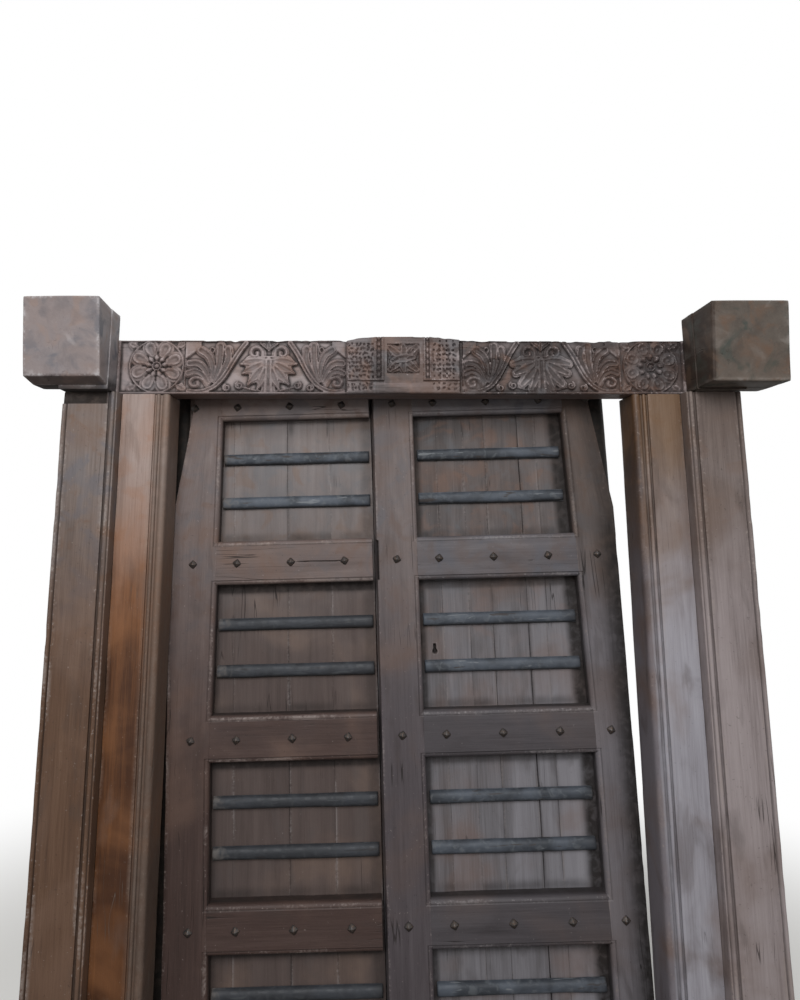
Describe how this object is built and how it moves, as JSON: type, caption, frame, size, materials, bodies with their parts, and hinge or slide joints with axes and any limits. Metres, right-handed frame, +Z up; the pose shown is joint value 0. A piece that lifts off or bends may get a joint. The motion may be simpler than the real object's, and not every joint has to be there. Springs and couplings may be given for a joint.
{
  "type": "carved wooden double door with frame",
  "caption": "Old timber double door in a heavy frame with a carved foliate lintel and square corner blocks; plank leaves with rails, half-round bars and studs swing inward on turned pivots.",
  "frame": {"origin": "on the floor at the middle of the door's width, directly below the lintel's front face", "axes": "+X to the right seen from the front, +Y into the building, +Z up"},
  "size_m": [1.936, 0.3826, 2.1767],
  "materials": {
    "plain_wood": "aged, matte",
    "outer_jamb_wood": "weathered, waxed",
    "inner_jamb_wood": "worn, warm brown",
    "lintel_wood": "carved, dusty",
    "block_wood": "weathered, grey brown",
    "leaf_wood": "aged, grey brown",
    "plank_wood": "aged, grey brown",
    "post_wood": "aged, dark",
    "bar_paint": "worn blue-grey paint",
    "iron": "old iron"
  },
  "bodies": {
    "frame": {"threshold": "plain_wood", "left_outer_jamb": "outer_jamb_wood", "right_outer_jamb": "outer_jamb_wood", "left_inner_jamb": "inner_jamb_wood", "right_inner_jamb": "inner_jamb_wood", "carved_lintel": "lintel_wood", "left_corner_block": "block_wood", "right_corner_block": "block_wood", "pivot_head": "plain_wood"},
    "left_leaf": {"left_pivot_post": "post_wood", "left_hinge_stile": "leaf_wood", "left_bottom_rail": "leaf_wood", "left_lower_mid_rail": "leaf_wood", "left_centre_mid_rail": "leaf_wood", "left_upper_mid_rail": "leaf_wood", "left_top_rail": "leaf_wood", "left_plank_1": "plank_wood", "left_plank_2": "plank_wood", "left_plank_3": "plank_wood", "left_plank_4": "plank_wood", "left_bar_1": "bar_paint", "left_bar_2": "bar_paint", "left_bar_3": "bar_paint", "left_bar_4": "bar_paint", "left_bar_5": "bar_paint", "left_bar_6": "bar_paint", "left_bar_7": "bar_paint", "left_bar_8": "bar_paint", "left_studs": "iron"},
    "right_leaf": {"right_pivot_post": "post_wood", "right_hinge_stile": "leaf_wood", "right_bottom_rail": "leaf_wood", "right_lower_mid_rail": "leaf_wood", "right_centre_mid_rail": "leaf_wood", "right_upper_mid_rail": "leaf_wood", "right_top_rail": "leaf_wood", "right_plank_1": "plank_wood", "right_plank_2": "plank_wood", "right_plank_3": "plank_wood", "right_plank_4": "plank_wood", "right_plank_5": "plank_wood", "right_plank_6": "plank_wood", "right_bar_1": "bar_paint", "right_bar_2": "bar_paint", "right_bar_3": "bar_paint", "right_bar_4": "bar_paint", "right_bar_5": "bar_paint", "right_bar_6": "bar_paint", "right_bar_7": "bar_paint", "right_bar_8": "bar_paint", "right_studs": "iron", "right_meeting_stile": "leaf_wood"}
  },
  "joints": [
    {"name": "left_leaf_swing", "type": "hinge", "parent": "frame", "child": "left_leaf", "pos_m": [-0.60967, 0.183, 1.00936], "axis": [-0.0262, 0, 0.9997], "range_deg": [0, 95]},
    {"name": "right_leaf_swing", "type": "hinge", "parent": "frame", "child": "right_leaf", "pos_m": [0.59792, 0.183, 1.04098], "axis": [-0.0262, 0, 0.9997], "range_deg": [-95, 0]}
  ]
}
